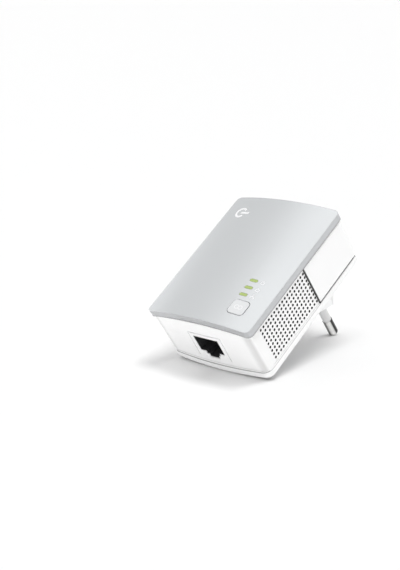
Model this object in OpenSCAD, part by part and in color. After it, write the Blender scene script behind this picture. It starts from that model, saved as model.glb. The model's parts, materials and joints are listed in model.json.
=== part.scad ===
// Powerline network adapter with a two-pin mains plug, resting on its pins and lower rear edge.
// Millimetres. Unit frame: X across, Y along the length towards the top end, Z from the rear face to the cover.
// Every sub-part is drawn in the unit frame, and standing() leans the whole unit back onto the floor, Z = 0.

/* [Cover] */
// Width of the front cover
cover_w = 52.4; // [51:0.2:54]
// Length of the front cover
cover_l = 65.4; // [64:0.2:68]
// Depth from the rear face to the crown of the cover
body_d = 28.8; // [28:0.1:29.5]
// How much lower the cover's long edges are than its crown
crown_drop = 2.2; // [1.5:0.1:2.4]
// Height of the cover's rim
rim_h = 3; // [2.4:0.1:3.1]
// Wall of the cover
cover_wall = 1.2; // [1:0.1:1.3]
// Corner radius of the cover, seen from the front
cover_corner = 2.2; // [1.5:0.1:3]

/* [Housings] */
// Half width of the lower half of the front housing, where the vents are
vent_half_w = 25; // [24.8:0.1:25.2]
// How far the smooth upper half stands out from the vents
panel_step = 0.7; // [0.4:0.1:0.8]
// Height along the length where the smooth upper half begins
panel_y = 4.5; // [4.5:0.1:6]
// Wall of the front housing
wall = 1.2; // [1.1:0.05:1.4]
// Height of the seam between the two housings
seam_z = 4.7; // [4.4:0.1:4.9]
// Shadow gap under the smooth upper half
seam_gap = 0.5; // [0.2:0.05:0.6]
// Radius of the rear housing's outer edge
rear_edge_r = 3.1; // [2:0.1:3.3]
// Floor of the rear housing
floor_t = 1.8; // [1.6:0.1:2]

/* [Vents] */
// Holes along the length
vent_columns = 17; // [9:1:17]
// Holes across the depth
vent_rows = 9; // [3:1:9]
// Spacing of the vent holes
vent_pitch = 1.84; // [1.6:0.02:1.84]
// Diameter of a vent hole
vent_d = 1.05; // [0.7:0.05:1.1]

/* [Plug] */
// Diameter of a pin
pin_d = 4; // [4:0.1:4.8]
// Distance between the pins
pin_spacing = 19; // [18:0.1:19.4]
// Length of a pin beyond the plug's face
pin_l = 19; // [18:0.5:20]
// Length of the insulating sleeve beyond the plug's face
sleeve_l = 11; // [10:0.5:12]
// Diameter of the insulating sleeve
sleeve_d = 3.6; // [3.4:0.1:3.6]
// Height of the plug above the rear face
plug_h = 10; // [9:0.5:12]
// Overall width of the plug
plug_w = 35.3; // [34.6:0.1:36]
// Overall height of the plug's face
plug_t = 13.7; // [13:0.1:14.4]
// Place of the plug along the length
plug_y = 16; // [14:0.5:17]

/* [Controls] */
// Place of the button across the width
button_x = 15.4; // [14:0.1:16]
// Place of the button along the length
button_y = -22.9; // [-24:0.1:-22]
// Width of the button
button_w = 7.3; // [6.6:0.1:7.6]
// Length of the button
button_l = 6.5; // [6:0.1:6.8]
// Travel of the button
button_travel = 0.4; // [0.2:0.05:0.5]
// Place of the status lights across the width
light_x = 13.4; // [12.5:0.1:14]
// Place of the middle status light along the length
light_y = -13.05; // [-13.5:0.05:-12.5]
// Spacing of the status lights
light_pitch = 3.65; // [3.3:0.05:3.7]

/* [Network socket] */
// Place of the socket across the width
socket_x = 0.3; // [-1:0.1:1]
// Width of the socket's opening
socket_w = 11.9; // [11.8:0.1:12.2]
// Height of the socket's opening, without the latch slot
socket_h = 7.2; // [6.9:0.1:7.6]
// Height of the opening's far side from the rear face
socket_top = 17.55; // [17.3:0.05:17.8]
// Depth of the socket from its face
socket_depth = 12.5; // [12:0.5:13]

/* [Hidden] */
$fn = 48;
eps = 0.01;
clear = 0.1; // ordinary clearance between neighbouring solids
slip = 0.05; // clearance of a close fit

// Cover surface: a cylinder along Y through the crown and the two long edges
crown_r = (pow(cover_w / 2, 2) + pow(crown_drop, 2)) / (2 * crown_drop);
function crown_z(x, below = 0) = body_d - crown_r + sqrt(pow(crown_r - below, 2) - x * x);

// Outlines of the housings: [half width, half length at the corners, bulge of the ends]
top_outline = [vent_half_w, cover_l / 2 - 0.1, 0.15];
seam_outline = [vent_half_w, 32.2, 1.3];
lip_outline = [vent_half_w + 0.1, 32.3, 1.4]; // top of the rear housing
rear_outline = [25.45, 32.95, 1.75]; // where its rounded edge begins
housing_corner = 2.6;
front_bottom = seam_z + 0.05;
panel_bottom = seam_z + seam_gap;
panel_gap = 0.65; // between the cover's rim and the smooth upper half
groove_d = 0.45; // depth of the grooves beside and under the smooth upper half
seam_end = 29.5; // where the groove under it runs out
cavity_half_w = vent_half_w - wall;
cavity_half_l = 31.4;
front_wall = 1.3; // front housing's wall behind the cover
collar_inset = 1.2; // from the cover's outside to the collar that it fits over
tongue_h = 1.3; // rear housing's tongue inside the front housing
tongue_t = 1.2;

// Vents
vent_y0 = -25.9;
vent_z0 = 21.1;
vent_wall = 0.7; // the wall is thinner behind the vents
vent_end = vent_y0 + (vent_columns - 1) * vent_pitch;
vent_bottom = vent_z0 - (vent_rows - 1) * vent_pitch;
groove_w = 0.35; // groove beside the smooth upper half, and round the network socket

// Network socket
socket_face_y = -33.05; // front of the socket's black liner
groove_y = -32.75; // bottom of the groove round the opening
frame_half_w = 8.5;
frame_low = 6.8;
frame_high = 19.7;
latch_w = [6.5, 4.5]; // widths of the two steps of the latch slot
latch_h = 1.4; // height of one step
liner_t = 0.3;
jack_face_y = -31.3;
jack_w = 16;
jack_l = 15.5;
jack_low = 6.6;
contact_pitch = 1.02;
contact_t = 0.35;
contact_count = 8;

// Circuit boards
board_t = 1.2;
logic_z = 20;
logic_top = logic_z + board_t;
logic_size = [45.6, 58];
logic_y0 = -31;
power_z = 5;
power_top = power_z + board_t;
power_size = [43.8, 44];
power_y0 = -14;
header_at = [18.5, -8];
header_pitch = 2;
switch_h = 3.1;
switch_top = logic_top + switch_h;
plunger_h = 0.5;
logic_screws_at = [[-18.5, 23.5], [18.5, 23.5]];
power_screws_at = [[-19, -10.8], [19, 26.4]];
screw_shank_r = 0.9;
screw_head = [1.9, 1.3]; // radius, height

// Pins
pin_r = pin_d / 2;
pin_core_r = 1.5; // under the sleeve
pin_seat_r = 1.8; // held in the plug
pin_round = 1; // radius of the rounded tip
pin_seat_z = -4; // inner end of the plug's solid face
flange = [3.2, 1.2]; // radius, height
plug_flat = 26.1; // length of the plug's long sides
plug_wall = 1.6;

// The unit leans on the lower rear edge and on the pin tips, which are both round in section
foot = [-(rear_outline[1] + rear_outline[2] - rear_edge_r), rear_edge_r];
toe = [plug_y - pin_r + pin_round, -plug_h - pin_l + pin_round];
reach = toe - foot;
lean = atan2(-reach[1], reach[0]) + asin((pin_round - rear_edge_r) / norm(reach));
function standing_y(y, z) = y * cos(lean) - z * sin(lean);
function standing_z(y, z) = y * sin(lean) + z * cos(lean);
floor_shift = standing_z(foot[0], foot[1]) - rear_edge_r;
front_end = standing_y(-cover_l / 2, crown_z(0));
back_end = standing_y(plug_y + pin_r - pin_round, -plug_h - pin_l + pin_round) + pin_round;
top_end = standing_y(-foot[0], rear_edge_r) + rear_edge_r;
centre_shift = (front_end + max(back_end, top_end)) / 2;

module standing() translate([0, -centre_shift, -floor_shift]) rotate([lean, 0, 0]) children();

// ---- shared shapes ----

// Points of a rectangle with rounded corners whose two short ends bulge
function outline(o, inset = 0, corner = housing_corner, end_steps = 12, corner_steps = 6) =
    let (hw = o[0] - inset, r = max(corner - inset, 0.3), bulge = o[2])
    let (end_r = (o[0] * o[0] + bulge * bulge) / (2 * bulge), end_y = o[1] + bulge - end_r)
    let (arc_r = end_r - inset, cx = hw - r, cy = end_y + sqrt(pow(arc_r - r, 2) - cx * cx))
    let (turn = atan2(cy - end_y, cx))
    let (half = concat(
        [for (i = [0:corner_steps]) [cx + r * cos(turn * i / corner_steps), cy + r * sin(turn * i / corner_steps)]],
        [for (i = [1:end_steps - 1]) let (a = turn + (180 - 2 * turn) * i / end_steps)
            [arc_r * cos(a), end_y + arc_r * sin(a)]],
        [for (i = [corner_steps:-1:0]) [-cx - r * cos(turn * i / corner_steps), cy + r * sin(turn * i / corner_steps)]]))
    concat(half, [for (p = half) -p]);

// Solid through a stack of outlines with equal numbers of points, each given as [height, points]
module loft(rings) {
    n = len(rings[0][1]);
    top = len(rings) - 1;
    sides = [for (j = [0:top - 1], i = [0:n - 1]) let (k = (i + 1) % n)
        each [[j * n + i, (j + 1) * n + i, (j + 1) * n + k], [j * n + i, (j + 1) * n + k, j * n + k]]];
    polyhedron([for (ring = rings, p = ring[1]) [p[0], p[1], ring[0]]],
        concat([[for (i = [0:n - 1]) i]], sides, [[for (i = [n - 1:-1:0]) top * n + i]]));
}

module block(low, high) translate(low) cube(high - low);

// Rectangle with round corners, centred on a point
module rounded_plate(size, r, z0, z1, at = [0, 0]) {
    translate([at[0], at[1], z0]) {
        linear_extrude(z1 - z0) {
            square([size[0] - 2 * r, size[1]], center = true);
            square([size[0], size[1] - 2 * r], center = true);
            for (sx = [-1, 1], sy = [-1, 1])
                translate([sx * (size[0] / 2 - r), sy * (size[1] / 2 - r)]) circle(r);
        }
    }
}

module disc(at, r, z0, z1) translate([at[0], at[1], z0]) cylinder(r = r, h = z1 - z0);

// Everything behind the cover's surface, offset inwards
module behind_crown(below = 0)
    translate([0, 0, body_d - crown_r]) rotate([90, 0, 0])
        cylinder(r = crown_r - below, h = 90, center = true, $fn = 360);

// Socket opening seen from its mouth: main window and the two steps of the latch slot
module socket_window(y0, y1, grow = 0) translate([socket_x, 0, 0]) {
    low = socket_top - socket_h;
    block([-socket_w / 2 - grow, y0, low - grow], [socket_w / 2 + grow, y1, socket_top + grow]);
    for (i = [0, 1])
        block([-latch_w[i] / 2 - grow, y0, low - (i + 1) * latch_h - grow], [latch_w[i] / 2 + grow, y1, low + eps]);
}

module light_slots(size, z0, z1)
    for (i = [-1:1])
        rounded_plate(size, size[1] / 2 - eps, z0, z1, [light_x, light_y + i * light_pitch]);

module screw(at, head_z, tip_z) {
    dir = tip_z > head_z ? 1 : -1;
    head_low = min(head_z, head_z + dir * screw_head[1]);
    disc(at, screw_head[0], head_low, head_low + screw_head[1]);
    shank_from = head_z + dir * screw_head[1];
    disc(at, screw_shank_r, min(shank_from, tip_z) - (dir < 0 ? 0 : eps), max(shank_from, tip_z) + (dir < 0 ? eps : 0));
}

module header_grid() for (i = [-0.5, 0.5], j = [-1.5:1.5])
    translate([header_at[0] + i * header_pitch, header_at[1] + j * header_pitch, 0]) children();

module mirror_pair(p) for (q = [p, [-p[0], p[1]]]) translate([q[0], q[1], 0]) children();

// ---- casing ----

module front_cover() color([0.8, 0.82, 0.84]) difference() {
    intersection() {
        rounded_plate([cover_w, cover_l], cover_corner, 20, body_d + 1);
        behind_crown();
    }
    intersection() {
        rounded_plate([cover_w - 2 * (collar_inset - clear), cover_l - 2 * (collar_inset - clear)],
            cover_corner - collar_inset + clear, 18, body_d + 1);
        behind_crown(cover_wall);
    }
    difference() {
        behind_crown(rim_h);
        rounded_plate([10, 10], 1, -200, -199);
    }
    rounded_plate([button_w + 0.5, button_l + 0.5], 1.85, 20, body_d + 1, [button_x, button_y]);
    light_slots([3.7, 1.4], 20, body_d + 1);
}

module front_shape() {
    intersection() {
        loft([[front_bottom, outline(seam_outline)], [body_d, outline(top_outline)]]);
        behind_crown(rim_h + clear);
    }
    intersection() {
        loft([[panel_bottom, outline(seam_outline + [panel_step, 0, 0])],
            [body_d, outline(top_outline + [panel_step, 0, 0])]]);
        block([-40, panel_y, 0], [40, 60, 40]);
        behind_crown(rim_h + panel_gap);
    }
    intersection() {
        rounded_plate([cover_w - 2 * collar_inset, cover_l - 2 * collar_inset], cover_corner - collar_inset,
            20, body_d);
        behind_crown(cover_wall + clear);
    }
}

module socket_groove() difference() {
    translate([socket_x, 0, 0])
        block([-frame_half_w, -40, frame_low], [frame_half_w, groove_y, frame_high]);
    translate([socket_x, 0, 0])
        block([-frame_half_w + groove_w, -41, frame_low - 1],
            [frame_half_w - groove_w, groove_y + 1, frame_high - groove_w]);
}

// Grooves in both sides, from beside the smooth upper half up to that place along the length
module side_grooves(end_y, z0, z1) for (side = [-1, 1])
    block([side > 0 ? vent_half_w - groove_d : -40, panel_y - groove_w, z0],
        [side > 0 ? 40 : groove_d - vent_half_w, end_y, z1]);

module vent_holes() for (side = [-1, 1], i = [0:vent_columns - 1], j = [0:vent_rows - 1])
    translate([side * vent_half_w, vent_y0 + i * vent_pitch, vent_z0 - j * vent_pitch]) rotate([0, 90, 0])
        cylinder(d = vent_d, h = 3 * wall, center = true, $fn = 16);

module front_housing() color([0.95, 0.95, 0.95]) {
    difference() {
        front_shape();
        intersection() {
            rounded_plate([2 * cavity_half_w, 2 * cavity_half_l], 1.5, 0, body_d);
            behind_crown(cover_wall + clear + front_wall);
        }
        vent_holes();
        for (side = [-1, 1])
            block([min(side * 20, side * (vent_half_w - vent_wall)), vent_y0 - 1.2, vent_bottom - 1.2],
                [max(side * 20, side * (vent_half_w - vent_wall)), vent_end + 1, vent_z0 + 1.2]);
        side_grooves(panel_y, seam_z - 1, 25.4);
        side_grooves(seam_end, seam_z - 1, panel_bottom);
        socket_groove();
        socket_window(-40, -30, liner_t + slip);
        rounded_plate([button_w + 2.3, button_l + 2.3], 1.9, 20, body_d + 1, [button_x, button_y]);
        light_slots([4.1, 1.8], 20, body_d + 1);
    }
    for (at = logic_screws_at) difference() {
        disc(at, 2.4, logic_top + slip, crown_z(at[0], cover_wall + clear + front_wall / 2));
        disc(at, screw_shank_r + slip, logic_top, logic_top + 3.2);
    }
}

// Rounded rear edge, whose inset follows a quarter circle, and a side that leans in to the seam
module rear_shell() loft(concat(
    [for (a = [0:9:90]) [rear_edge_r * (1 - cos(a)), outline(rear_outline, rear_edge_r * (1 - sin(a)), 4)]],
    [[seam_z, outline(lip_outline, 0, 3.4)]]));

module plug_profile(inset = 0) {
    flat = plug_flat / 2 - inset * 0.55;
    polygon([[plug_w / 2 - inset * 1.2, 0], [flat, plug_t / 2 - inset], [-flat, plug_t / 2 - inset],
        [-plug_w / 2 + inset * 1.2, 0], [-flat, -plug_t / 2 + inset], [flat, -plug_t / 2 + inset]]);
}

module at_plug() translate([0, plug_y, 0]) children();

module rear_housing() color([0.95, 0.95, 0.95]) difference() {
    union() {
        difference() {
            rear_shell();
            rounded_plate([2 * (cavity_half_w - tongue_t), 2 * (cavity_half_l - tongue_t)], 3, floor_t, 20);
        }
        difference() {
            rounded_plate([2 * (cavity_half_w - clear), 2 * (cavity_half_l - clear)], 1.4, floor_t, seam_z + tongue_h);
            rounded_plate([2 * (cavity_half_w - tongue_t), 2 * (cavity_half_l - tongue_t)], 1, 0, 20);
        }
        at_plug() translate([0, 0, -plug_h]) linear_extrude(plug_h + floor_t / 2) plug_profile();
        for (at = power_screws_at) disc(at, 2.4, floor_t - eps, power_z - slip);
    }
    at_plug() translate([0, 0, pin_seat_z]) linear_extrude(20) plug_profile(plug_wall);
    mirror_pair([pin_spacing / 2, plug_y]) translate([0, 0, -plug_h - 1])
        cylinder(r = pin_seat_r + slip, h = plug_h);
    for (at = power_screws_at) disc(at, screw_shank_r + slip, 1, power_z + 1);
    disc([0, plug_y], screw_shank_r + slip, -8.6, 0);
    rounded_plate([38.6, 31.6], 1.6, -1, 0.25, [0, -12]);
    side_grooves(seam_end, seam_z - 0.4, seam_z + 0.1);
}

module rating_label() color([0.9, 0.9, 0.9]) rounded_plate([38, 31], 1.5, 0.08, 0.25, [0, -12]);

// ---- button and status lights ----

module pair_button() color([0.82, 0.84, 0.86]) {
    flange_top = crown_z(button_x + 5, cover_wall + clear);
    difference() {
        intersection() {
            rounded_plate([button_w, button_l], 1.6, flange_top - 0.4, body_d + 1, [button_x, button_y]);
            behind_crown(-0.15);
        }
        // room under the cap saves plastic and keeps the cap from sinking
        rounded_plate([button_w - 2.4, button_l - 2.4], 0.6, flange_top - 1, flange_top + 0.3, [button_x, button_y]);
    }
    difference() {
        rounded_plate([button_w + 1.5, button_l + 1.5], 1.7, flange_top - 0.9, flange_top - 0.05,
            [button_x, button_y]);
        rounded_plate([button_w - 2.4, button_l - 2.4], 0.6, flange_top - 0.5, flange_top + 1, [button_x, button_y]);
    }
    disc([button_x, button_y], 1.5, switch_top + plunger_h + clear, flange_top - 0.5 + eps);
}

module light_guide() color([0.7, 0.88, 0.35, 0.9]) {
    intersection() {
        light_slots([3.5, 1.2], 22.7, body_d + 1);
        behind_crown(0);
    }
    rounded_plate([2, 2 * light_pitch + 1.2], 0.5, 22.6, 23.5, [light_x, light_y]);
}

module status_led(i) color([0.93, 0.93, 0.8])
    rounded_plate([2, 1.25], 0.2, logic_top, logic_top + 0.8, [light_x, light_y + i * light_pitch]);

module switch_body() color([0.2, 0.2, 0.22]) difference() {
    rounded_plate([6, 6], 0.4, logic_top, switch_top, [button_x, button_y]);
    disc([button_x, button_y], 1.75 + slip, logic_top + 1, switch_top + 1);
}

module switch_plunger() color([0.85, 0.85, 0.8]) disc([button_x, button_y], 1.75, logic_top + 1 + button_travel + clear,
    switch_top + plunger_h);

// ---- logic board and what is on it ----

module logic_board() color([0.05, 0.35, 0.18]) difference() {
    block([-logic_size[0] / 2, logic_y0, logic_z], [logic_size[0] / 2, logic_y0 + logic_size[1], logic_top]);
    for (at = logic_screws_at) disc(at, screw_shank_r + 0.2, logic_z - 1, logic_top + 1);
    contact_rows(0) disc([0, 0], 0.45, logic_z - 1, logic_top + 1);
    header_grid() cylinder(r = 0.5, h = 60);
}

module logic_board_screws() color([0.7, 0.7, 0.72])
    for (at = logic_screws_at) screw(at, logic_z - screw_head[1], logic_top + 3);

// Places of the socket's eight leads on the board: two staggered rows
module contact_rows(z) for (i = [0:contact_count - 1])
    translate([contact_x(i), lead_y(i), z]) children();
function contact_x(i) = socket_x + (i - (contact_count - 1) / 2) * contact_pitch;
function lead_y(i) = jack_face_y + socket_depth + (i % 2 == 0 ? 0.9 : 2.1);

module jack_body() color([0.06, 0.06, 0.06]) {
    slot_top = socket_top + 1.3;
    difference() {
        union() {
            block([socket_x - jack_w / 2, jack_face_y, jack_low],
                [socket_x + jack_w / 2, jack_face_y + jack_l, logic_z - slip]);
            socket_window(socket_face_y, jack_face_y + 1, liner_t);
        }
        socket_window(-40, jack_face_y + socket_depth);
        for (i = [0:contact_count - 1]) {
            x = contact_x(i);
            block([x - 0.35, jack_face_y + 1, socket_top - 1], [x + 0.35, lead_y(i) + 0.4, slot_top]);
            block([x - 0.35, lead_y(i) - 0.4, slot_top - 1], [x + 0.35, lead_y(i) + 0.4, logic_z + 1]);
        }
    }
}

// One springy contact: a lead up to the board, a run forward under the roof, and the slanting spring
module contact(i) {
    x = contact_x(i);
    h = contact_t / 2;
    roof = socket_top + 0.9;
    front = jack_face_y + 1.3;
    tip = [front + 8.6, socket_top - 3.4];
    bend = 0.5;
    rotate([90, 0, 90]) translate([0, 0, x - h]) linear_extrude(contact_t) {
        polygon([[lead_y(i) - h, roof], [lead_y(i) + h, roof], [lead_y(i) + h, logic_top + 0.5],
            [lead_y(i) - h, logic_top + 0.5]]);
        polygon([[front, roof - h], [lead_y(i) + h, roof - h], [lead_y(i) + h, roof + h], [front, roof + h]]);
        polygon([[front, roof + h], [front + bend, roof - h - bend], tip + [0, 0], tip + [0, -contact_t],
            [front + bend - contact_t, roof - h - bend - contact_t / 2], [front - h, roof]]);
    }
}

module jack_contacts() color([0.85, 0.65, 0.25]) for (i = [0:contact_count - 1]) contact(i);

// A component body standing on the front side of the logic board
module on_logic(size, at, r = 0.15, lift = 0)
    rounded_plate([size[0], size[1]], r, logic_top + lift, logic_top + lift + size[2], at);

module network_transformer() color([0.08, 0.08, 0.08]) on_logic([12.7, 7.2, 2.2], [-8.5, -9], 0.3);
module powerline_chip() color([0.1, 0.1, 0.11]) on_logic([9, 9, 0.9], [-6, 8]);
module thermal_pad() color([0.55, 0.62, 0.75]) on_logic([8.6, 8.6, 0.5], [-6, 8], 0.15, 0.9);
module heat_spreader() color([0.75, 0.76, 0.78]) {
    on_logic([19, 19, 0.8], [-6, 8], 1, 1.4);
    for (i = [-2:2]) block([-6 - 8.5, 8 + i * 4 - 0.4, logic_top + 2.1], [-6 + 8.5, 8 + i * 4 + 0.4, logic_top + 3.2]);
}
module memory_chip() color([0.1, 0.1, 0.11]) on_logic([10, 8, 1], [12, 10]);
module flash_chip() color([0.1, 0.1, 0.11]) on_logic([5, 4, 1.5], [11.5, 1]);
module crystal() color([0.8, 0.8, 0.78]) on_logic([3.2, 2.5, 0.8], [6.4, -4.4]);

module board_header() color([0.08, 0.08, 0.08]) difference() {
    rounded_plate([2 * header_pitch, 4 * header_pitch], 0.3, power_top, logic_z, header_at);
    header_grid() translate([0, 0, power_top - 1]) cylinder(r = 0.3 + slip, h = 20);
}

module header_pins() color([0.85, 0.65, 0.25]) header_grid()
    translate([-0.21, -0.21, power_z - 0.9]) cube([0.42, 0.42, logic_top - power_z + 1.8]);

module insulation_sheet() color([0.9, 0.88, 0.8]) difference() {
    block([-21.4, -13.4, 18.8], [21.4, 20.4, 19.1]);
    block([15.8, -14, 18], [22, -3.2, 20]);
}

// ---- power board and what is on it ----

module power_board() color([0.05, 0.35, 0.18]) difference() {
    block([-power_size[0] / 2, power_y0, power_z], [power_size[0] / 2, power_y0 + power_size[1], power_top]);
    for (at = power_screws_at) disc(at, screw_shank_r + 0.2, power_z - 1, power_top + 1);
    mirror_pair([pin_spacing / 2, plug_y]) cylinder(r = 0.9 + clear, h = 60);
    header_grid() cylinder(r = 0.5, h = 60);
}

module power_board_screws() color([0.7, 0.7, 0.72])
    for (at = power_screws_at) screw(at, power_top + screw_head[1], 1.4);

module on_power(size, at, r = 0.3, lift = 0)
    rounded_plate([size[0], size[1]], r, power_top + lift, power_top + lift + size[2], at);

// Round part lying on the power board, along X or along Y
module lying(at, r, l, along_y) translate([at[0], at[1], power_top + r + slip])
    rotate(along_y ? [90, 0, 0] : [0, 90, 0]) cylinder(r = r, h = l, center = true);

module bulk_capacitor() color([0.15, 0.16, 0.2]) lying([-3.2, 2], 5, 15, true);
module output_capacitor() color([0.15, 0.16, 0.2]) lying([8, -8.6], 3.15, 11, false);
module safety_capacitor() color([0.9, 0.75, 0.15]) on_power([13, 5, 10.6], [-3, 25]);
module fuse() color([0.35, 0.2, 0.12]) on_power([7.6, 4, 7.6], [9.6, 25]);
module varistor() color([0.15, 0.35, 0.65]) translate([-16, 24.8, power_top + 4.6]) rotate([90, 0, 0])
    cylinder(r = 3.7, h = 3.6, center = true);
module bridge_rectifier() color([0.1, 0.1, 0.11]) on_power([6.4, 4.8, 2.4], [-16, 3.8]);
module coupling_transformer() color([0.2, 0.2, 0.2]) on_power([8, 6.6, 5.6], [-14, -3.9]);
module power_controller() color([0.1, 0.1, 0.11]) on_power([4.9, 6, 1.5], [5, 14.5]);

transformer_at = [14, 5];
module transformer_core() color([0.22, 0.22, 0.24]) translate([transformer_at[0], transformer_at[1], power_top]) {
    for (side = [-1, 1]) block([-6.6, side * 5.6 - 1.2, 2.6], [6.6, side * 5.6 + 1.2, 10.4]);
    for (side = [-1, 0, 1]) block([side * 5.2 - 1.4, -4.5, 2.6], [side * 5.2 + 1.4, 4.5, 10.4]);
}
module transformer_winding() color([0.92, 0.8, 0.3]) translate([transformer_at[0], transformer_at[1], power_top])
    difference() {
        rounded_plate([13.6, 8.6], 0.4, 0, 11.6);
        for (side = [-1, 0, 1]) block([side * 5.2 - 1.5, -5, 2.5], [side * 5.2 + 1.5, 5, 10.5]);
    }

choke_at = [-16.2, 13.2];
module choke_core() color([0.25, 0.25, 0.27]) translate([choke_at[0], choke_at[1], power_top + 5.4])
    rotate([0, 90, 0]) difference() {
        cylinder(r = 4.4, h = 3.6, center = true);
        cylinder(r = 2.2, h = 5, center = true);
    }
module choke_winding() color([0.75, 0.4, 0.2]) translate([choke_at[0], choke_at[1], power_top + 5.4])
    for (side = [-1, 1]) intersection() {
        rotate([0, 90, 0]) difference() {
            cylinder(r = 5.2, h = 5.2, center = true);
            difference() {
                cylinder(r = 4.5, h = 3.7, center = true);
                cylinder(r = 2.1, h = 4, center = true);
            }
            cylinder(r = 1.4, h = 6, center = true);
        }
        block([-3, side > 0 ? 0.8 : -6, -4.2], [3, side > 0 ? 6 : -0.8, 4.2]);
    }

// ---- plug pins ----

module pin(side) at_plug() translate([side * pin_spacing / 2, 0, 0]) {
    tip = -plug_h - pin_l;
    sleeve_end = -plug_h - sleeve_l;
    sleeve_start = -plug_h + 2;
    // turned profile: rounded tip, contact, waist under the sleeve, seat, flange and solder tail
    rotate_extrude() polygon(concat(
        [[0, tip]],
        [for (a = [0:15:90]) [pin_r - pin_round + pin_round * sin(a), tip + pin_round - pin_round * cos(a)]],
        [[pin_r, sleeve_end], [pin_core_r, sleeve_end], [pin_core_r, sleeve_start], [pin_seat_r, sleeve_start],
        [pin_seat_r, pin_seat_z + slip], [flange[0], pin_seat_z + slip], [flange[0], pin_seat_z + slip + flange[1]],
        [0.9, pin_seat_z + slip + flange[1]], [0.9, power_top + 1], [0, power_top + 1]]));
}

module pin_sleeve(side) at_plug() translate([side * pin_spacing / 2, 0, -plug_h - sleeve_l + slip / 2]) difference() {
    cylinder(d = sleeve_d, h = sleeve_l + 2 - slip);
    translate([0, 0, -1]) cylinder(r = pin_core_r + slip / 2, h = sleeve_l + 5);
}

module live_pin() color([0.8, 0.8, 0.78]) pin(1);
module neutral_pin() color([0.8, 0.8, 0.78]) pin(-1);
module live_pin_sleeve() color([0.93, 0.93, 0.93]) pin_sleeve(1);
module neutral_pin_sleeve() color([0.93, 0.93, 0.93]) pin_sleeve(-1);

retainer_z = pin_seat_z + slip + flange[1] + slip;
module pin_retainer() color([0.9, 0.9, 0.88]) at_plug() difference() {
    translate([0, 0, retainer_z]) linear_extrude(1.8) plug_profile(plug_wall + 0.3);
    for (side = [-1, 1]) translate([side * pin_spacing / 2, 0, -5]) cylinder(r = 1.1, h = 10);
    translate([0, 0, -5]) cylinder(r = screw_shank_r + 0.2, h = 10);
}
module retainer_screw() color([0.7, 0.7, 0.72]) screw([0, plug_y], retainer_z + 1.8 + screw_head[1], -8);

// ---- assembly ----

standing() front_cover();
standing() front_housing();
standing() rear_housing();
standing() rating_label();
standing() pair_button();
standing() light_guide();
standing() status_led(1);  // status_led_1
standing() status_led(0);  // status_led_2
standing() status_led(-1);  // status_led_3
standing() switch_body();
standing() switch_plunger();
standing() logic_board();
standing() logic_board_screws();
standing() jack_body();
standing() jack_contacts();
standing() network_transformer();
standing() powerline_chip();
standing() thermal_pad();
standing() heat_spreader();
standing() memory_chip();
standing() flash_chip();
standing() crystal();
standing() board_header();
standing() header_pins();
standing() insulation_sheet();
standing() power_board();
standing() power_board_screws();
standing() live_pin();
standing() neutral_pin();
standing() live_pin_sleeve();
standing() neutral_pin_sleeve();
standing() pin_retainer();
standing() retainer_screw();
standing() bulk_capacitor();
standing() output_capacitor();
standing() transformer_core();
standing() transformer_winding();
standing() choke_core();
standing() choke_winding();
standing() safety_capacitor();
standing() fuse();
standing() varistor();
standing() bridge_rectifier();
standing() coupling_transformer();
standing() power_controller();
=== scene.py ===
# Powerline adapter: materials, printed marks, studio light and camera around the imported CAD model.
# Metres, in the CAD model's own frame: X across, Y to the back, Z up, floor at Z = 0.

import json
import math

import bmesh
import bpy
from mathutils import Euler, Matrix, Vector


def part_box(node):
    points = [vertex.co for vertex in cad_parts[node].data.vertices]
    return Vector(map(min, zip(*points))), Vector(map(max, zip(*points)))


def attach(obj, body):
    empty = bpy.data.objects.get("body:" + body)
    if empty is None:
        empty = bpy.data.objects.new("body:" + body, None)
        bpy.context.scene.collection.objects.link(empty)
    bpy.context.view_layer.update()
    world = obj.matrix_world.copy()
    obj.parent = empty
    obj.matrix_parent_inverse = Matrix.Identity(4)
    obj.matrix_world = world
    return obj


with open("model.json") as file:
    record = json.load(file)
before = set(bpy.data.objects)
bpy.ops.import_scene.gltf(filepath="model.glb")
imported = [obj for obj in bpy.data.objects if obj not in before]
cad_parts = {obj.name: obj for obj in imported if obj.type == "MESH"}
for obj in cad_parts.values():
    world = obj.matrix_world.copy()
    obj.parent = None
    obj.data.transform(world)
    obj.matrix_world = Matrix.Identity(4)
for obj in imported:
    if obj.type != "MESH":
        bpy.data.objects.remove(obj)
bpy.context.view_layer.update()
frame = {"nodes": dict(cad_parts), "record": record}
nodes = frame["nodes"]
scene = bpy.context.scene
scene.view_settings.view_transform = "Standard"

MM = 0.001


# ---- the unit's own axes: x across, y along its length, z from the rear face to the cover ----

PLUG_Y = 16 * MM
UNIT_PLUG_FACE = Vector((0, PLUG_Y, -10 * MM))  # the middle of the plug's end face, as in the CAD model
COVER_WIDTH = 52.4 * MM
COVER_CROWN = 28.8 * MM
CROWN_DROP = 2.2 * MM
CROWN_RADIUS = ((COVER_WIDTH / 2) ** 2 + CROWN_DROP ** 2) / (2 * CROWN_DROP)

mounts = {mount["name"]: mount for mount in frame["record"]["mounts"]}
unit_z = -Vector(mounts["plug_face"]["axis"])
unit_x = Vector((1, 0, 0))
unit_y = unit_z.cross(unit_x)
unit_turn = Matrix((unit_x, unit_y, unit_z)).transposed()
unit_origin = Vector(mounts["plug_face"]["pos_m"]) - unit_turn @ UNIT_PLUG_FACE
to_row = Matrix.Translation(unit_origin) @ unit_turn.to_4x4()


# ---- camera ----

CAMERA_AZIMUTH = 44.9  # degrees to the right of the front
CAMERA_HEIGHT = 15.71  # degrees above the floor's plane
CAMERA_ROLL = 3.46  # degrees that the view is turned
CAMERA_DISTANCE = 490.2 * MM
CAMERA_TARGET = Vector((-15.97, -15.64, 29.68)) * MM
LENS = 78.9


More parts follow.
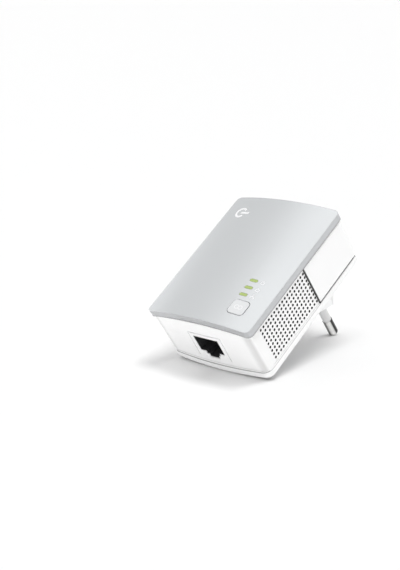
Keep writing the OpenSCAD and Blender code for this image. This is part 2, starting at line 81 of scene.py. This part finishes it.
def add_camera():
    """The camera at the photographed angle."""
    data = bpy.data.cameras.new("camera")
    data.lens = LENS
    data.sensor_width = 36
    data.clip_start = 0.01
    camera = bpy.data.objects.new("camera", data)
    scene.collection.objects.link(camera)
    turn = Euler((math.radians(90 - CAMERA_HEIGHT), 0, math.radians(CAMERA_AZIMUTH)), "XYZ").to_matrix()
    turn = turn @ Matrix.Rotation(math.radians(-CAMERA_ROLL), 3, "Z")
    place = CAMERA_TARGET + turn @ Vector((0, 0, CAMERA_DISTANCE))
    camera.matrix_world = Matrix.Translation(place) @ turn.to_4x4()
    scene.camera = camera


add_camera()


# ---- material tools ----


def new_material(name, color, roughness, metallic=0.0):
    """A Principled material. Returns it, its tree and its shader, for the detail that follows."""
    material = bpy.data.materials.new(name)
    material.use_nodes = True
    shader = material.node_tree.nodes["Principled BSDF"]
    shader.inputs["Base Color"].default_value = (*color, 1)
    shader.inputs["Roughness"].default_value = roughness
    shader.inputs["Metallic"].default_value = metallic
    return material, material.node_tree, shader


def add_noise(tree, size, detail=3.0):
    """Noise through the solid, with features of that size in millimetres. Returns its value."""
    coords = tree.nodes.new("ShaderNodeTexCoord")
    noise = tree.nodes.new("ShaderNodeTexNoise")
    noise.inputs["Scale"].default_value = 1 / (size * MM)
    noise.inputs["Detail"].default_value = detail
    tree.links.new(coords.outputs["Object"], noise.inputs["Vector"])
    return noise.outputs["Fac"]


def add_range(tree, value, low, high, start=0.1, end=0.9):
    """That value's stretch from start to end, spread over low to high."""
    node = tree.nodes.new("ShaderNodeMapRange")
    node.inputs["From Min"].default_value = start
    node.inputs["From Max"].default_value = end
    node.inputs["To Min"].default_value = low
    node.inputs["To Max"].default_value = high
    tree.links.new(value, node.inputs["Value"])
    return node.outputs["Result"]


def add_mix(tree, factor, color_a, color_b):
    """A colour between two: either may be a socket or a plain colour."""
    node = tree.nodes.new("ShaderNodeMix")
    node.data_type = "RGBA"
    tree.links.new(factor, node.inputs["Factor"])
    for socket, color in ((node.inputs[6], color_a), (node.inputs[7], color_b)):
        if isinstance(color, tuple):
            socket.default_value = (*color, 1)
        else:
            tree.links.new(color, socket)
    return node.outputs[2]


def add_ramp(tree, value, low, high, stops):
    """A smooth curve of that value: stops are (value, level) pairs between low and high."""
    ramp = tree.nodes.new("ShaderNodeValToRGB")
    ramp.color_ramp.interpolation = "EASE"
    while len(ramp.color_ramp.elements) < len(stops):
        ramp.color_ramp.elements.new(0.5)
    for element, (place, level) in zip(ramp.color_ramp.elements, stops):
        element.position = (place - low) / (high - low)
        element.color = (level, level, level, 1)
    tree.links.new(add_range(tree, value, 0, 1, low, high), ramp.inputs["Fac"])
    return ramp.outputs["Color"]


def add_bump(tree, shader, height, depth, edge=0.0):
    """Relief from that height. An edge, in millimetres, also rounds the shading of sharp edges."""
    bump = tree.nodes.new("ShaderNodeBump")
    if edge:
        bevel = tree.nodes.new("ShaderNodeBevel")
        bevel.samples = 6
        bevel.inputs["Radius"].default_value = edge * MM
        tree.links.new(bevel.outputs["Normal"], bump.inputs["Normal"])
    bump.inputs["Strength"].default_value = 1
    bump.inputs["Distance"].default_value = depth * MM
    tree.links.new(height, bump.inputs["Height"])
    tree.links.new(bump.outputs["Normal"], shader.inputs["Normal"])


def shade(color, share):
    """That colour with each channel times that share."""
    return tuple(c * share for c in color)


def moulded(name, color, roughness, grain=0.35, depth=0.004, mottle=0.97, coat=0.0):
    """Moulded plastic: a fine spark-eroded grain, and slightly uneven colour and gloss."""
    material, tree, shader = new_material(name, color, roughness)
    darker = shade(color, mottle)
    cloud = add_noise(tree, 9, 2)
    tree.links.new(add_mix(tree, cloud, color, darker), shader.inputs["Base Color"])
    tree.links.new(add_range(tree, cloud, roughness * 0.9, roughness * 1.12), shader.inputs["Roughness"])
    add_bump(tree, shader, add_noise(tree, grain), depth)
    shader.inputs["Coat Weight"].default_value = coat
    shader.inputs["Coat Roughness"].default_value = 0.2
    return material


def plated(name, color, roughness, grain=0.25, depth=0.002):
    """Plated or bare metal with faint stains and fine wear."""
    material, tree, shader = new_material(name, color, roughness, 1.0)
    cloud = add_noise(tree, 2.5, 4)
    worn = shade(color, 0.86)
    tree.links.new(add_mix(tree, cloud, color, worn), shader.inputs["Base Color"])
    tree.links.new(add_range(tree, cloud, roughness * 0.8, roughness * 1.5), shader.inputs["Roughness"])
    add_bump(tree, shader, add_noise(tree, grain), depth)
    return material


def in_unit(tree):
    """Coordinates along the unit's own axes, in metres, split into three."""
    coords = tree.nodes.new("ShaderNodeTexCoord")
    back = to_row.inverted()
    mapping = tree.nodes.new("ShaderNodeMapping")
    mapping.inputs["Location"].default_value = back.translation
    mapping.inputs["Rotation"].default_value = back.to_euler("XYZ")
    tree.links.new(coords.outputs["Object"], mapping.inputs["Vector"])
    split = tree.nodes.new("ShaderNodeSeparateXYZ")
    tree.links.new(mapping.outputs["Vector"], split.inputs["Vector"])
    return split.outputs


def add_math(tree, operation, a, b=None):
    """The result of a Math node: a and b may be sockets or plain numbers."""
    node = tree.nodes.new("ShaderNodeMath")
    node.operation = operation
    for socket, value in zip(node.inputs, (a, b)):
        if value is None:
            continue
        if isinstance(value, (int, float)):
            socket.default_value = value
        else:
            tree.links.new(value, socket)
    return node.outputs[0]


def between(tree, *limits):
    """1 where each of the values is between its two limits in millimetres, and 0 elsewhere."""
    result = 1.0
    for value, low, high in limits:
        result = add_math(tree, "MULTIPLY", result, add_math(tree, "GREATER_THAN", value, low * MM))
        result = add_math(tree, "MULTIPLY", result, add_math(tree, "LESS_THAN", value, high * MM))
    return result


# ---- materials of the casing ----

WHITE = (0.93, 0.93, 0.93)
# The greys and the black below are painted shade: on the end's corners, along the seams, on the foot, in the
# grooves and on the step, and for the closed case's dark inside.
CORNER_SHADE = (0.66, 0.66, 0.66)
GROOVE_SHADE = (0.15, 0.15, 0.15)
SEAM_SHADE = (0.4, 0.4, 0.4)
SIDE_SEAM_SHADE = (0.66, 0.66, 0.66)
FOOT_SHADE = (0.24, 0.24, 0.24)
CAVITY_SHADE = (0.01, 0.01, 0.01)
SILVER = (0.72, 0.738, 0.752)
# The rim's grey is painted shade on the cover's sides.
RIM_SHADE = (0.54, 0.55, 0.56)

# Limits along the unit's own axes, in millimetres, each just inside the surface that it is for.
FAR = 40  # past any part of the unit
CAVITY_HALF_WIDTH = 24.985
GROOVE_HALF_WIDTH = 25.3
STEP_HALF_WIDTH = 25.68
PANEL_START = 4.14
PANEL_END = 31
GROOVES_Z = 4.25
END_FACE_Y = -30
EDGE_ROUND = 0.25


def painted_dark_shade(tree, across, y, z):
    """Where painted shade goes: black for the closed case's dark inside, and dark in the grooves and on the
    step that frame its smooth upper half.
    """
    # Painted shade: the inside of the case and the vent holes' inner walls are painted black for the dark of
    # the closed case.
    dark_inside_mask = between(tree, (across, -1, CAVITY_HALF_WIDTH), (y, -28, PANEL_END), (z, 1.85, FAR))
    # Painted shade in the grooves and on the step face that frame the smooth upper half.
    grooves = between(tree, (across, -1, GROOVE_HALF_WIDTH), (y, PANEL_START, PANEL_END), (z, GROOVES_Z, FAR))
    step = between(tree, (across, -1, STEP_HALF_WIDTH), (y, PANEL_START, 4.51), (z, GROOVES_Z, FAR))
    return dark_inside_mask, add_math(tree, "MAXIMUM", grooves, step)


def painted_soft_shade(tree, across, y, z):
    """How much of each painted soft shade is at a point: the end's corners, both stretches of seam and the
    foot.
    """
    # Painted shade: a soft grey band on the end's rounded corners.
    corner = add_ramp(tree, across, 20 * MM, 26 * MM, [(20.5 * MM, 0), (24.2 * MM, 1), (26 * MM, 1)])
    end = add_ramp(tree, y, -33 * MM, -30 * MM, [(-33 * MM, 1), (-32 * MM, 1), (-30.8 * MM, 0)])
    corner = add_math(tree, "MULTIPLY", corner, end)
    corner = add_math(tree, "MULTIPLY", corner, between(tree, (z, 4.5, FAR)))
    # Painted shade along the seam above the lip, at the front and on both sides.
    seam_front = between(tree, (across, -1, 26), (y, -FAR, -31), (z, 4.0, 4.35))
    seam_side = between(tree, (across, 24.5, 30), (y, -31, FAR), (z, 3.9, 4.3))
    # Painted shade on the foot, darkest at the lower front edge.
    foot = add_ramp(tree, z, 0, 2 * MM, [(0.1 * MM, 1), (0.9 * MM, 0.5), (1.5 * MM, 0)])
    foot = add_math(tree, "MULTIPLY", foot, between(tree, (y, -FAR, END_FACE_Y)))
    return corner, seam_front, seam_side, foot


def housing_plastic():
    """White moulded plastic with painted shade: the inside, with the vent holes' inner walls, is painted
    black for the dark of the closed case, and painted shade lies in the grooves and on the step, on the end's
    corners, along the seams and on the foot.
    """
    material, tree, shader = new_material("housing_plastic", WHITE, 0.32)
    x, y, z = in_unit(tree)
    across = add_math(tree, "ABSOLUTE", x)
    cloud = add_noise(tree, 11, 2)
    color = add_mix(tree, cloud, WHITE, shade(WHITE, 0.985))
    # Painted shade on the end's corners, along the seams and on the foot.
    for place, tone in zip(painted_soft_shade(tree, across, y, z), (CORNER_SHADE, SEAM_SHADE, SIDE_SEAM_SHADE, FOOT_SHADE)):
        color = add_mix(tree, place, color, tone)
    # Painted shade in the grooves and on the step, and black painted for the dark inside.
    dark_inside_mask, groove_and_step_shade = painted_dark_shade(tree, across, y, z)
    color = add_mix(tree, groove_and_step_shade, color, GROOVE_SHADE)
    tree.links.new(add_mix(tree, dark_inside_mask, color, CAVITY_SHADE), shader.inputs["Base Color"])
    tree.links.new(add_range(tree, cloud, 0.28, 0.36), shader.inputs["Roughness"])
    add_bump(tree, shader, add_noise(tree, 0.3), 0.003, edge=EDGE_ROUND)
    return material


def depth_below_crown(tree, x, z):
    """How far a point is below the crowned face of the cover, in metres."""
    drop = add_math(tree, "SUBTRACT", CROWN_RADIUS ** 2, add_math(tree, "MULTIPLY", x, x))
    crown = add_math(tree, "ADD", add_math(tree, "SQRT", drop), COVER_CROWN - CROWN_RADIUS)
    return add_math(tree, "SUBTRACT", crown, z)


def cover_paint():
    """Satin silver lacquer, a little uneven. The rim's sides carry painted shade, darker than the crowned
    face, more so on the front end and most along the lower edge.
    """
    material, tree, shader = new_material("cover_paint", SILVER, 0.24, 0.5)
    cloud = add_noise(tree, 20, 0)
    face = add_mix(tree, cloud, SILVER, shade(SILVER, 0.98))
    x, y, z = in_unit(tree)
    below = depth_below_crown(tree, x, z)
    # Painted shade: the rim's sides darker than the face, more on the front end, most near the lower edge.
    rim_shade_mask = add_range(tree, below, 0, 1, 0.05 * MM, 0.15 * MM)
    lower_edge_shade = add_range(tree, below, 0, 1, 2.3 * MM, 2.9 * MM)
    side = add_mix(tree, between(tree, (y, -FAR, -32)), RIM_SHADE, shade(RIM_SHADE, 0.88))
    side = add_mix(tree, lower_edge_shade, side, shade(RIM_SHADE, 0.68))
    tree.links.new(add_mix(tree, rim_shade_mask, face, side), shader.inputs["Base Color"])
    tree.links.new(add_range(tree, cloud, 0.22, 0.26), shader.inputs["Roughness"])
    add_bump(tree, shader, add_noise(tree, 1.5, 1), 0.0006, edge=EDGE_ROUND)
    return material


def lit_window():
    """Translucent lime green window with a painted glow: it emits light itself, standing in for the LED light
    behind it.
    """
    material, tree, shader = new_material("lit_window", (0.42, 0.50, 0.18), 0.35)
    cloud = add_noise(tree, 1.2, 2)
    green = add_mix(tree, cloud, (0.44, 0.53, 0.20), (0.33, 0.42, 0.13))
    tree.links.new(green, shader.inputs["Base Color"])
    tree.links.new(add_range(tree, cloud, 0.3, 0.42), shader.inputs["Roughness"])
    add_bump(tree, shader, add_noise(tree, 0.4), 0.002)
    # Painted glow: the window's own emission stands in for the LED behind it.
    shader.inputs["Emission Color"].default_value = (0.35, 0.55, 0.06, 1)
    shader.inputs["Emission Strength"].default_value = 0.12
    return material


PIN_RADIUS = 2 * MM
PIN_TURN = math.radians(37.7)  # how far the toned sides are turned about the pin
# The painted reflection across the pin's width, a painted highlight in the middle and dark sides, as
# (millimetres, level).
PIN_PAINTED_REFLECTION = [(-2, 0.1), (-1.2, 0.2), (-0.5, 0.9), (0.4, 1), (1.0, 0.8), (1.4, 0.03), (2, 0.02)]


def pin_metal(name):
    """Bright nickel with a painted reflection: a painted highlight down the middle and painted dark along the
    pin's two sides, where it would mirror the dark of a room.
    """
    material, tree, shader = new_material(name + "_metal", (0.78, 0.77, 0.74), 0.2, 1.0)
    low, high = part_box(name)
    x, y, z = in_unit(tree)
    from_middle = add_math(tree, "SUBTRACT", x, (low[0] + high[0]) / 2)
    across = add_math(tree, "MULTIPLY", from_middle, math.cos(PIN_TURN))
    along = add_math(tree, "MULTIPLY", add_math(tree, "SUBTRACT", y, PLUG_Y), math.sin(PIN_TURN))
    side = add_math(tree, "ADD", across, along)
    # Painted reflection: the pin's tone across its width, set by position.
    tone = add_ramp(tree, side, -PIN_RADIUS, PIN_RADIUS, [(at * MM, level) for at, level in PIN_PAINTED_REFLECTION])
    tree.links.new(add_mix(tree, tone, (0.02, 0.02, 0.02), (0.95, 0.945, 0.93)), shader.inputs["Base Color"])
    tree.links.new(add_range(tree, add_noise(tree, 2.5, 4), 0.15, 0.28), shader.inputs["Roughness"])
    add_bump(tree, shader, add_noise(tree, 0.25), 0.002)
    return material


def dress(material, *names):
    """Gives CAD nodes a material."""
    for name in names:
        for slot in nodes[name].material_slots:
            slot.material = material


sleeve_plastic = moulded("sleeve_plastic", (0.70, 0.70, 0.70), 0.4, 0.25, 0.003)

dress(housing_plastic(), "front_housing", "rear_housing")
dress(moulded("white_plastic", WHITE, 0.32, 0.3, 0.003, 0.985), "pin_retainer")
dress(sleeve_plastic, "live_pin_sleeve", "neutral_pin_sleeve")
dress(cover_paint(), "front_cover")
dress(moulded("button_plastic", (0.74, 0.75, 0.76), 0.3, 0.5, 0.002, 0.985), "pair_button")
dress(lit_window(), "light_guide")
dress(moulded("label_film", (0.66, 0.67, 0.68), 0.45, 0.2, 0.002), "rating_label")

# ---- materials of what is inside ----

black = moulded("black_plastic", (0.035, 0.035, 0.037), 0.38, 0.3, 0.004, 0.8)
chip = moulded("chip_plastic", (0.02, 0.02, 0.022), 0.55, 0.12, 0.006, 0.8)
board = moulded("circuit_board", (0.01, 0.09, 0.035), 0.3, 0.6, 0.01, 0.7, coat=0.4)
steel = plated("screw_steel", (0.62, 0.62, 0.63), 0.3)
gold = plated("gold_contact", (0.83, 0.62, 0.25), 0.22)
ferrite = moulded("ferrite", (0.05, 0.05, 0.055), 0.6, 0.2, 0.01, 0.8)
can_sleeve = moulded("capacitor_sleeve", (0.02, 0.025, 0.05), 0.28, 0.8, 0.004, 0.8)
led = moulded("led_body", (0.85, 0.82, 0.5), 0.25, 0.5, 0.003, 0.9)

dress(black, "jack_body", "switch_body", "board_header")
dress(chip, "network_transformer", "powerline_chip", "memory_chip", "flash_chip", "bridge_rectifier",
      "power_controller", "coupling_transformer")
dress(board, "logic_board", "power_board")
dress(steel, "logic_board_screws", "power_board_screws", "retainer_screw", "crystal")
dress(gold, "jack_contacts", "header_pins")
for pin in ("live_pin", "neutral_pin"):
    dress(pin_metal(pin), pin)
dress(plated("spreader_aluminium", (0.75, 0.76, 0.78), 0.35), "heat_spreader")
dress(ferrite, "transformer_core", "choke_core")
dress(plated("copper_wire", (0.72, 0.34, 0.16), 0.3, 0.5, 0.05), "choke_winding")
dress(moulded("yellow_tape", (0.80, 0.58, 0.08), 0.3, 0.5, 0.01, 0.85), "transformer_winding")
dress(moulded("yellow_resin", (0.72, 0.50, 0.04), 0.35, 0.5, 0.004, 0.9), "safety_capacitor")
dress(moulded("brown_resin", (0.10, 0.035, 0.015), 0.4, 0.5, 0.004, 0.8), "fuse")
dress(moulded("blue_resin", (0.02, 0.08, 0.33), 0.3, 0.8, 0.02, 0.8), "varistor")
dress(can_sleeve, "bulk_capacitor", "output_capacitor")
dress(moulded("thermal_rubber", (0.25, 0.33, 0.5), 0.8, 0.3, 0.01, 0.85), "thermal_pad")
dress(moulded("sheet_film", (0.72, 0.68, 0.5), 0.35, 0.5, 0.003, 0.9), "insulation_sheet")
dress(led, "status_led_1", "status_led_2", "status_led_3")
dress(moulded("plunger_plastic", (0.78, 0.76, 0.68), 0.4, 0.3, 0.003, 0.9), "switch_plunger")


# ---- printed symbols on the cover and the button: plain and generic ----


def on_cover(x, y, lift):
    """The place over that point of the cover in the row frame. All are in millimetres."""
    z = COVER_CROWN - CROWN_RADIUS + math.sqrt((CROWN_RADIUS + lift * MM) ** 2 - (x * MM) ** 2)
    return to_row @ Vector((x * MM, y * MM, z))


def circle(x, y, radius, start=0, end=360, steps=24):
    """Points along that stretch of a circle, start and end in degrees."""
    turns = [math.radians(start + (end - start) * i / steps) for i in range(steps + 1)]
    return [(x + radius * math.cos(a), y + radius * math.sin(a)) for a in turns]


def white_ink_material():
    """White screen-printing ink, a little patchy."""
    material, tree, shader = new_material("white_ink", (0.93, 0.93, 0.94), 0.5)
    patch = add_noise(tree, 0.6, 3)
    tree.links.new(add_mix(tree, patch, (0.95, 0.95, 0.96), (0.86, 0.86, 0.87)), shader.inputs["Base Color"])
    tree.links.new(add_range(tree, patch, 0.42, 0.6), shader.inputs["Roughness"])
    add_bump(tree, shader, patch, 0.001)
    return material


INK_THICKNESS = 0.02  # millimetres
INK_LIFT = 0.03
white_ink = white_ink_material()


def add_print(name, body, strokes, width, lift=INK_LIFT):
    """A thin layer of ink that follows the crown: strokes are lists of points in millimetres."""
    shape = bmesh.new()
    for points in strokes:
        rims = []
        for i, (x, y) in enumerate(points):
            back, ahead = points[max(i - 1, 0)], points[min(i + 1, len(points) - 1)]
            along = Vector((ahead[0] - back[0], ahead[1] - back[1])).normalized()
            side = Vector((-along.y, along.x)) * width / 2
            rims.append([shape.verts.new(on_cover(x + k * side.x, y + k * side.y, lift)) for k in (-1, 1)])
        for (a, b), (c, d) in zip(rims, rims[1:]):
            shape.faces.new((a, c, d, b))
    mesh = bpy.data.meshes.new(name)
    shape.to_mesh(mesh)
    shape.free()
    ink = bpy.data.objects.new(name, mesh)
    scene.collection.objects.link(ink)
    layer = ink.modifiers.new("ink_thickness", "SOLIDIFY")
    layer.thickness = INK_THICKNESS * MM
    layer.offset = -1
    mesh.materials.append(white_ink)
    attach(ink, body)


def power_symbol(x, y):
    """A broken ring with a bar at its gap: x and y are at the ring's middle."""
    return [circle(x, y, 0.75, 125, 415), [(x, y), (x, y + 1)]]


def home_symbol(x, y):
    """A house's outline: y is at the middle of its walls."""
    wall, low, eaves, ridge = 0.75, y - 0.4, y + 0.4, y + 1.1
    left, right = x - wall, x + wall
    return [[(left, low), (left, eaves), (x, ridge), (right, eaves), (right, low), (left, low)]]


def network_symbol(x, y):
    """One point linked to two: y is at the bar between them."""
    arm, drop = 0.7, 0.5
    fork = [(x - arm, y - drop), (x - arm, y), (x + arm, y), (x + arm, y - drop)]
    ends = [circle(x, y + 0.9, 0.2), circle(x - arm, y - 0.7, 0.2), circle(x + arm, y - 0.7, 0.2)]
    return [[(x, y + 0.7), (x, y)], fork] + ends


SYMBOL_X = 17.7
SYMBOL_WIDTH = 0.24
BUTTON_X, BUTTON_Y = 15.4, -22.9
BUTTON_RISE = 0.15
RING_RADIUS = 0.85
MARK_X, MARK_Y = -17.6, 23.6

add_print("print_power", "case", power_symbol(SYMBOL_X, -9.5), SYMBOL_WIDTH)
add_print("print_home", "case", home_symbol(SYMBOL_X, -13.5), SYMBOL_WIDTH)
add_print("print_network", "case", network_symbol(SYMBOL_X, -16.7), 0.22)
rings = [circle(BUTTON_X + side * RING_RADIUS, BUTTON_Y, RING_RADIUS) for side in (-1, 1)]
add_print("print_pair", "button", rings, 0.3, BUTTON_RISE + INK_LIFT)
mark = [circle(MARK_X, MARK_Y, 2.3, 40, 320), [(MARK_X, MARK_Y), (MARK_X + 4.4, MARK_Y)]]
add_print("print_mark", "case", mark, 1.0)


# ---- floor and light ----

AMBIENT = 0.15
HORIZON = 2.0
FLOOR_HALF = 30  # metres


def add_floor():
    """A plain pale floor, so wide that its edge is never seen."""
    mesh = bpy.data.meshes.new("floor")
    shape = bmesh.new()
    bmesh.ops.create_grid(shape, x_segments=1, y_segments=1, size=FLOOR_HALF)
    shape.to_mesh(mesh)
    shape.free()
    floor = bpy.data.objects.new("floor", mesh)
    scene.collection.objects.link(floor)
    mesh.materials.append(new_material("floor", (0.95, 0.95, 0.95), 0.7)[0])


def add_sun(name, azimuth, height, strength, spread):
    """A soft light from that direction, in degrees: azimuth 0 is from the front, 90 from the right."""
    data = bpy.data.lights.new(name, "SUN")
    data.energy = strength
    data.angle = math.radians(spread)
    light = bpy.data.objects.new(name, data)
    scene.collection.objects.link(light)
    light.rotation_euler = (math.radians(90 - height), 0, math.radians(azimuth))
    light.visible_glossy = False
    return light


def add_sky():
    """Soft studio light, brightest near the floor. Its strips on the left are what the cover reflects."""
    world = bpy.data.worlds.new("studio")
    scene.world = world
    world.use_nodes = True
    tree = world.node_tree
    coords = tree.nodes.new("ShaderNodeTexCoord")
    split = tree.nodes.new("ShaderNodeSeparateXYZ")
    tree.links.new(coords.outputs["Generated"], split.inputs["Vector"])
    x, y, z = split.outputs
    box = add_ramp(tree, x, -1, 1, [(-1, 2.0), (-0.9, 1.6), (-0.8, 0.42), (-0.66, 0.45),
                                   (-0.42, 1.15), (-0.1, 0.3), (1, 0.2)])
    sides = add_ramp(tree, y, -1, 1, [(-1, 0.3), (-0.6, 0.3), (-0.35, 1), (0.45, 1), (0.7, 0.3), (1, 0.3)])
    high = add_ramp(tree, z, 0, 1, [(0, 0), (0.3, 0.2), (0.5, 1), (1, 1)])
    low = add_ramp(tree, z, 0, 1, [(0, 1), (0.15, 1), (0.3, 0), (1, 0)])
    right = add_ramp(tree, x, -1, 1, [(-1, 0.5), (0, 0.5), (0.5, 1), (1, 1)])
    level = add_math(tree, "MULTIPLY", box, add_math(tree, "MULTIPLY", sides, high))
    band = add_math(tree, "MULTIPLY", add_math(tree, "MULTIPLY", low, right), HORIZON)
    level = add_math(tree, "ADD", add_math(tree, "ADD", level, band), AMBIENT)
    background = tree.nodes["Background"]
    tree.links.new(level, background.inputs["Strength"])
    background.inputs["Color"].default_value = (1, 1, 1, 1)


add_floor()
add_sky()
add_sun("key", 108, 74, 1.42, 25)
add_sun("key_front", 10, 68, 0.43, 25)
bounce = add_sun("bounce", 15, -30, 0.42, 60)
bounce.data.use_shadow = False  # it stands for light thrown back by a card, so the floor lets it through
